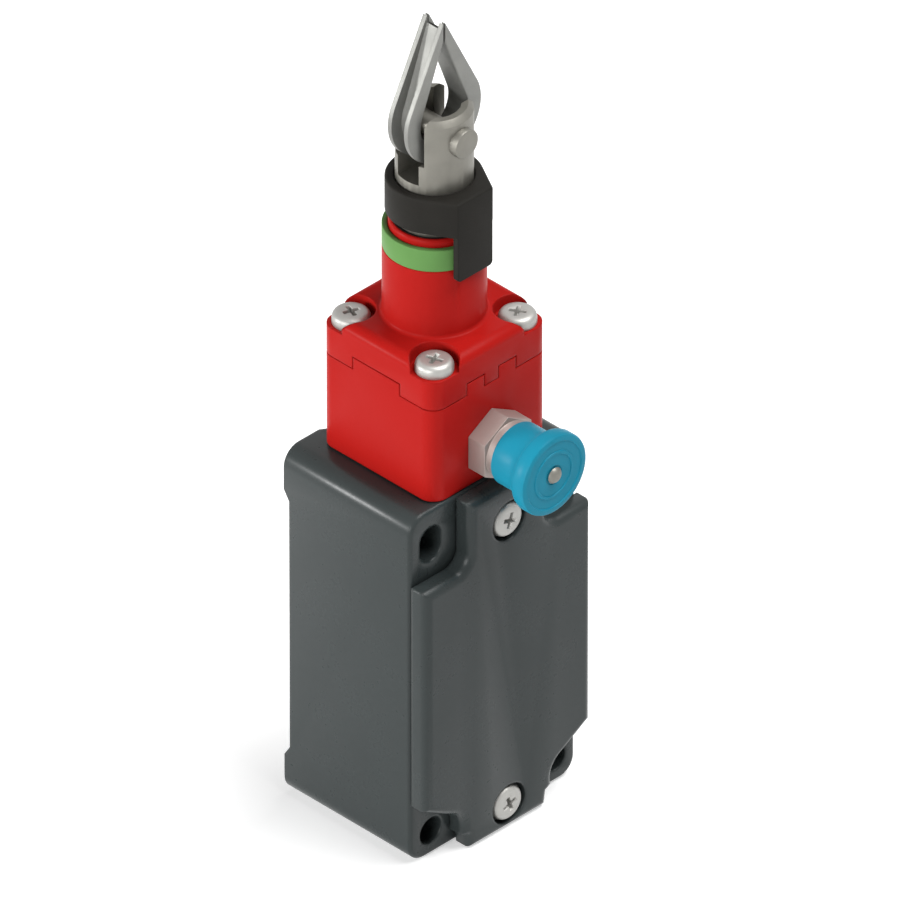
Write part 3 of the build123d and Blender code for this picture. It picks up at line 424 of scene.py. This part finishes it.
# Pan head screws with a cross recess
screw = {
    "headRadius": 3.4 * mm,
    "headHeight": 2.2 * mm,
    "shankRadius": 1.75 * mm,
    "rimRound": 1.6 * mm,
    "recessSpan": 3.9 * mm,
    "recessWidth": 1.0 * mm,
    "recessDepth": 1.5 * mm,
    "recessTaper": 0.6,
    "edgeBreak": 0.07 * mm,
    "firstTurn": 0.35,  # radians the first recess is turned by
    "nextTurn": 0.9,  # radians more for each screw after it
}


def makeRecess():
    deselectAll()
    bpy.ops.mesh.primitive_cube_add(size=1.0, location=(0, 0, screw["headHeight"]))
    cross = bpy.context.object
    cross.scale = (screw["recessWidth"], screw["recessWidth"], 2 * screw["recessDepth"])
    bpy.ops.object.transform_apply(location=True, scale=True)
    bpy.ops.object.mode_set(mode="EDIT")
    arm = (screw["recessSpan"] - screw["recessWidth"]) / 2
    for side in ((1, 0), (-1, 0), (0, 1), (0, -1)):
        pick(
            cross,
            "faces",
            lambda face: face.normal.x * side[0] + face.normal.y * side[1] > 0.9
            and abs(face.calc_center_median().x * side[1]) < 0.1 * mm
            and abs(face.calc_center_median().y * side[0]) < 0.1 * mm,
        )
        bpy.ops.mesh.extrude_region_move(
            TRANSFORM_OT_translate={"value": (arm * side[0], arm * side[1], 0)}
        )
    pick(cross, "verts", lambda vertex: vertex.co.z < screw["headHeight"])
    bpy.ops.transform.resize(
        value=(screw["recessTaper"], screw["recessTaper"], 1.0),
        center_override=(0, 0, screw["headHeight"]),
    )
    bpy.ops.object.mode_set(mode="OBJECT")
    return cross


def makeScrew(name, length):
    deselectAll()
    bpy.ops.mesh.primitive_cylinder_add(
        vertices=64,
        radius=screw["headRadius"],
        depth=screw["headHeight"],
        location=(0, 0, screw["headHeight"] / 2),
    )
    piece = bpy.context.object
    piece.name = name
    bpy.ops.object.transform_apply(location=True)
    bpy.ops.object.mode_set(mode="EDIT")
    pick(piece, "edges", lambda edge: all(v.co.z > screw["headHeight"] * 0.9 for v in edge.verts))
    bpy.ops.mesh.bevel(offset=screw["rimRound"], segments=8, profile=0.6)
    pick(piece, "faces", lambda face: face.normal.z < -0.9)
    bpy.ops.mesh.inset(thickness=screw["headRadius"] - screw["shankRadius"])
    bpy.ops.mesh.extrude_region_move(TRANSFORM_OT_translate={"value": (0, 0, -length)})
    bpy.ops.object.mode_set(mode="OBJECT")
    cutAway(piece, makeRecess())
    breakEdges(piece, screw["edgeBreak"], segments=2, angle=40)
    return piece


def placeScrews(model, places, lean, node):
    copies = []
    for number, place in enumerate(places):
        choose(model)
        bpy.ops.object.duplicate()
        copy = bpy.context.object
        copy.rotation_euler = (0, 0, screw["firstTurn"] + screw["nextTurn"] * number)
        bpy.ops.object.transform_apply(rotation=True)
        copy.rotation_euler = (lean, 0, 0)
        copy.location = place
        bpy.ops.object.transform_apply(location=True, rotation=True, scale=True)
        copies.append(copy)
    deselectAll()
    for copy in copies:
        copy.select_set(True)
    bpy.context.view_layer.objects.active = copies[0]
    bpy.ops.object.join()
    joined = bpy.context.object
    joined.name = node + "_finish"
    bpy.data.objects.remove(model)
    settle(joined, "screw_zinc", "switch_body", node, smooth=40)


headLow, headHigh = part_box("head_screws")
headSeat = headHigh.z - screw["headHeight"]
headMiddle = (headLow.y + headHigh.y) / 2
headHalf = (headHigh.x - headLow.x) / 2 - screw["headRadius"]
headPlaces = [
    (sideX * headHalf, headMiddle + sideY * headHalf, headSeat)
    for sideX in (-1, 1)
    for sideY in (-1, 1)
]
placeScrews(makeScrew("head_screw_model", headSeat - headLow.z), headPlaces, 0, "head_screws")

coverLow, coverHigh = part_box("cover_screws")
coverSeat = coverLow.y + screw["headHeight"]
coverPlaces = [
    (0, coverSeat, coverLow.z + screw["headRadius"]),
    (0, coverSeat, coverHigh.z - screw["headRadius"]),
]
coverModel = makeScrew("cover_screw_model", coverHigh.y - coverSeat)
placeScrews(coverModel, coverPlaces, pi / 2, "cover_screws")  # leaning makes the heads face -Y
print("screws made:", len(headPlaces) + len(coverPlaces))


# Turned pieces, from points of radius and distance along the axis
def spun(name, points, start, axis, steps):
    deselectAll()
    bpy.ops.mesh.primitive_plane_add(size=1 * mm, location=(0, 0, 0))
    piece = bpy.context.object
    piece.name = name
    bpy.ops.object.mode_set(mode="EDIT")
    bpy.ops.mesh.select_all(action="SELECT")
    bpy.ops.mesh.merge(type="CENTER")
    mesh = bmesh.from_edit_mesh(piece.data)
    mesh.verts.ensure_lookup_table()
    first = mesh.verts[0]
    first.co = start + Vector((points[0][0], 0, 0)) + axis * points[0][1]
    first.select_set(True)
    bmesh.update_edit_mesh(piece.data)
    for before, after in zip(points, points[1:]):
        move = Vector((after[0] - before[0], 0, 0)) + axis * (after[1] - before[1])
        bpy.ops.mesh.extrude_region_move(TRANSFORM_OT_translate={"value": move})
    bpy.ops.mesh.select_all(action="SELECT")
    bpy.ops.mesh.spin(steps=steps, angle=2 * pi, center=start, axis=axis)
    bpy.ops.mesh.select_all(action="SELECT")
    bpy.ops.mesh.remove_doubles(threshold=0.002 * mm)
    bpy.ops.mesh.normals_make_consistent(inside=False)
    bpy.ops.object.mode_set(mode="OBJECT")
    return piece


# Reset knob, with plain rings on its face
knob = {
    "shaftBore": 2.05 * mm,
    "rivetBore": 1.15 * mm,
    "frontWall": 2.6 * mm,
    "barrelRadius": 5.9 * mm,
    "barrelLength": 3.6 * mm,
    "rearRound": 0.4 * mm,
    "flareLength": 3.2 * mm,
    "flareStop": 0.25 * mm,  # how far inside the flange's edge the flare ends
    "flareSteps": 8,
    "flangeWidth": 2.3 * mm,
    "rimRound": 0.5 * mm,
    "rimWidth": 1.2 * mm,
    "slope": 0.15 * mm,
    "faceDepth": 0.2 * mm,
    "ringOuter": 4.6 * mm,
    "ringInner": 4.1 * mm,
    "ringSlope": 0.1 * mm,
    "ringDepth": 0.02 * mm,
    "dishRadius": 1.9 * mm,
    "dishDepth": 0.3 * mm,
    "steps": 96,
}
knobLow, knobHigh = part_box("reset_knob")
knobLength = knobHigh.y - knobLow.y
flangeRadius = (knobHigh.x - knobLow.x) / 2
flareRise = flangeRadius - knob["flareStop"] - knob["barrelRadius"]
flare = []
for step in range(knob["flareSteps"] + 1):
    turn = radians(90 * step / knob["flareSteps"])
    along = knob["barrelLength"] + knob["flareLength"] * sin(turn)
    flare.append((knob["barrelRadius"] + flareRise * (1 - cos(turn)), along))
rimInner = flangeRadius - knob["rimWidth"]
faceLevel = knobLength - knob["faceDepth"]
ringLevel = knobLength - knob["ringDepth"]
dishLevel = knobLength - knob["dishDepth"]
wallLevel = knobLength - knob["frontWall"]
knobProfile = [
    (knob["shaftBore"], 0.0),
    (knob["barrelRadius"] - knob["rearRound"], 0.0),
    (knob["barrelRadius"] - knob["rearRound"] * 0.3, knob["rearRound"] * 0.3),
    (knob["barrelRadius"], knob["rearRound"]),
    *flare,
    (flangeRadius, knobLength - knob["flangeWidth"]),
    (flangeRadius, knobLength - knob["rimRound"]),
    (flangeRadius - knob["rimRound"] * 0.3, knobLength - knob["rimRound"] * 0.3),
    (flangeRadius - knob["rimRound"], knobLength),
    (rimInner, knobLength),
    (rimInner - knob["slope"], faceLevel),
    (knob["ringOuter"] + knob["ringSlope"], faceLevel),
    (knob["ringOuter"], ringLevel),
    (knob["ringInner"], ringLevel),
    (knob["ringInner"] - knob["ringSlope"], faceLevel),
    (knob["dishRadius"], faceLevel),
    (knob["dishRadius"] - knob["slope"], dishLevel),
    (knob["rivetBore"], dishLevel),
    (knob["rivetBore"], wallLevel),
    (knob["shaftBore"], wallLevel),
    (knob["shaftBore"], 0.0),
]
knobStart = Vector((0, knobHigh.y, (knobLow.z + knobHigh.z) / 2))
knobPiece = spun("reset_knob_finish", knobProfile, knobStart, Vector((0, -1, 0)), knob["steps"])
settle(knobPiece, "knob_blue", "reset_group", "reset_knob", smooth=28)
print("knob made")

# Clevis turned from bar, bored from above and slotted in two widths
clevis = {
    "rodBore": 3.0 * mm,
    "rodDepth": 9.0 * mm,
    "endBreak": 0.5 * mm,
    "boreRadius": 4.6 * mm,
    "rimChamfer": 1.0 * mm,
    "topDrop": 0.3 * mm,
    "mouthHalf": 3.4 * mm,
    "mouthDepth": 9.3 * mm,
    "slotHalf": 2.5 * mm,
    "slotDepth": 13.2 * mm,
    "toolOver": 2.0 * mm,
    "edgeBreak": 0.14 * mm,
    "steps": 120,
}
clevisLow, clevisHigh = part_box("clevis")
clevisRadius = (clevisHigh.x - clevisLow.x) / 2
clevisMiddle = (clevisLow.y + clevisHigh.y) / 2
clevisLength = clevisHigh.z - clevisLow.z
clevisTop = clevisLength - clevis["topDrop"]
boreFloor = clevisLength - clevis["mouthDepth"]
clevisProfile = [
    (clevis["rodBore"], 0.0),
    (clevisRadius - clevis["endBreak"], 0.0),
    (clevisRadius, clevis["endBreak"]),
    (clevisRadius, clevisTop - clevis["rimChamfer"]),
    (clevisRadius - clevis["rimChamfer"], clevisTop),
    (clevis["boreRadius"], clevisTop),
    (clevis["boreRadius"], boreFloor),
    (0.0, boreFloor),
    (0.0, clevis["rodDepth"]),
    (clevis["rodBore"], clevis["rodDepth"]),
    (clevis["rodBore"], 0.0),
]
clevisStart = Vector((0, clevisMiddle, clevisLow.z))
clevisPiece = spun("clevis_finish", clevisProfile, clevisStart, Vector((0, 0, 1)), clevis["steps"])


def cutSlot(half, depth):
    floorZ = clevisHigh.z - depth
    topZ = clevisHigh.z + clevis["toolOver"]
    deselectAll()
    bpy.ops.mesh.primitive_cube_add(size=1.0, location=(0, clevisMiddle, (floorZ + topZ) / 2))
    block = bpy.context.object
    block.scale = (4 * clevisRadius, 2 * half, topZ - floorZ)
    bpy.ops.object.transform_apply(location=True, scale=True)
    cutAway(clevisPiece, block)


cutSlot(clevis["mouthHalf"], clevis["mouthDepth"])
cutSlot(clevis["slotHalf"], clevis["slotDepth"])
breakEdges(clevisPiece, clevis["edgeBreak"], segments=2, angle=35)
settle(clevisPiece, "stainless", "pull_group", "clevis", smooth=30)

# Rivet pin with a tall rounded head at each end
pin = {
    "shankRadius": 2.0 * mm,
    "headRadius": 2.75 * mm,
    "headRise": 0.15 * mm,
    "headRound": 0.35 * mm,
    "roundMiddle": 0.1 * mm,
    "seatDepth": 0.6 * mm,  # how far the heads reach inside the clevis's radius
    "steps": 72,
}
pinLow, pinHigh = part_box("clevis_pin")
pinLength = pinHigh.y - pinLow.y + 2 * pin["headRise"]
pinSeat = pinLength / 2 - clevisRadius + pin["seatDepth"]
headProfile = [
    (0.0, 0.0),
    (pin["headRadius"] - pin["headRound"], 0.0),
    (pin["headRadius"] - pin["roundMiddle"], pin["roundMiddle"]),
    (pin["headRadius"], pin["headRound"]),
    (pin["headRadius"], pinSeat),
    (pin["shankRadius"], pinSeat),
]
pinProfile = headProfile + [(out, pinLength - along) for out, along in reversed(headProfile)]
pinStart = Vector((0, pinHigh.y + pin["headRise"], (pinLow.z + pinHigh.z) / 2))
pinPiece = spun("clevis_pin_finish", pinProfile, pinStart, Vector((0, -1, 0)), pin["steps"])
settle(pinPiece, "stainless", "pull_group", "clevis_pin", smooth=30)
print("clevis and pin made")

# Springs, copied from their parts, each given a mesh of its own
springs = {
    "main_spring": {"joint": "rope_pull", "fixedEnd": Vector((0, 0, 1)), "travel": 8 * mm},
    "reset_spring": {"joint": "reset_pull", "fixedEnd": Vector((0, -1, 0)), "travel": 4 * mm},
}
for name, spring in springs.items():
    coil = copyOf(name)
    settle(coil, slotOf[name], bodyOf(name), name, smooth=35)
    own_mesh(coil)
print("springs made:", len(springs))


# Floor and sky, white to the camera and in reflections
def whiteTo(tree):
    path = addNode(tree, "ShaderNodeLightPath")
    camera = Value(tree, path.outputs["Is Camera Ray"])
    glossy = Value(tree, path.outputs["Is Glossy Ray"])
    through = Value(tree, path.outputs["Is Transmission Ray"])
    return camera.math("MAXIMUM", glossy).math("MAXIMUM", through)


studio = {
    "floorSize": 6.0,
    "floorDrop": 5.2 * mm,
    "floorColour": (0.80, 0.80, 0.80),
    "floorPatch": (0.79, 0.79, 0.80),
    "floorGlow": 0.46,
    "dimGlow": (0.45, 0.45, 0.45, 1.0),
    "fullGlow": (1.0, 1.0, 1.0, 1.0),
    "skyLight": 0.022,
}
deselectAll()
bpy.ops.mesh.primitive_plane_add(size=studio["floorSize"], location=(0, 0, -studio["floorDrop"]))
floor = bpy.context.object
floor.name = "floor"
floorFinish = Finish(
    "floor", studio["floorColour"], 0.9, Specular_IOR_Level=0.0, Emission_Strength=studio["floorGlow"]
)
glow = floorFinish.node(
    "ShaderNodeMix",
    {0: whiteTo(floorFinish.tree), 6: studio["dimGlow"], 7: studio["fullGlow"]},
    data_type="RGBA",
)
floorFinish.tree.links.new(glow.outputs[2], floorFinish.shader.inputs["Emission Color"])
floorFinish.tint((floorFinish.noise(0.5, detail=2.0) - 0.5) * 0.4, studio["floorPatch"])
floor.data.materials.append(floorFinish.material)

world = bpy.data.worlds.new("studio")
bpy.context.scene.world = world
world.use_nodes = True
background = world.node_tree.nodes["Background"]
background.inputs["Color"].default_value = (1.0, 1.0, 1.0, 1.0)
strength = whiteTo(world.node_tree).math("MAXIMUM", studio["skyLight"])
world.node_tree.links.new(strength.socket, background.inputs["Strength"])

# Soft lamps, all turned to the middle of the switch
aim = Vector((0, -20.15 * mm, 67.0 * mm))
lamps = {
    "key": {"place": (-1.60, -0.25, 0.55), "size": 1.0, "power": 18},
    "edge": {"place": (-1.3, 0.95, 0.30), "size": 0.25, "power": 15},
    "front": {"place": (0.35, -1.5, 0.5), "size": 1.2, "power": 1.0},
    "top": {"place": (0.45, -0.50, 1.70), "size": 1.3, "power": 38},
}
for name, lamp in lamps.items():
    bpy.ops.object.light_add(type="AREA", location=lamp["place"])
    light = bpy.context.object
    light.name = name
    light.data.shape = "DISK"
    light.data.size = lamp["size"]
    light.data.energy = lamp["power"]
    light.rotation_mode = "QUATERNION"
    light.rotation_quaternion = (aim - Vector(lamp["place"])).to_track_quat("-Z", "Y")

# Camera, far off with a long lens, so that the view is nearly parallel
shot = {"lens": 1600.0, "sensor": 36.0, "seen": 153.45 * mm, "from": Vector((-1, -1, 1)) / sqrt(3)}
distance = shot["lens"] / shot["sensor"] * shot["seen"]
cameraData = bpy.data.cameras.new("camera")
camera = bpy.data.objects.new("camera", cameraData)
bpy.context.scene.collection.objects.link(camera)
bpy.context.scene.camera = camera
cameraData.sensor_width = shot["sensor"]
cameraData.lens = shot["lens"]
cameraData.clip_start = 0.1
cameraData.clip_end = distance * 3
cameraData.dof.use_dof = False
camera.location = aim + shot["from"] * distance
camera.rotation_mode = "QUATERNION"
camera.rotation_quaternion = (-shot["from"]).to_track_quat("-Z", "Y")

bpy.context.scene.view_settings.view_transform = "Standard"
print("stage ready")

noteSize()
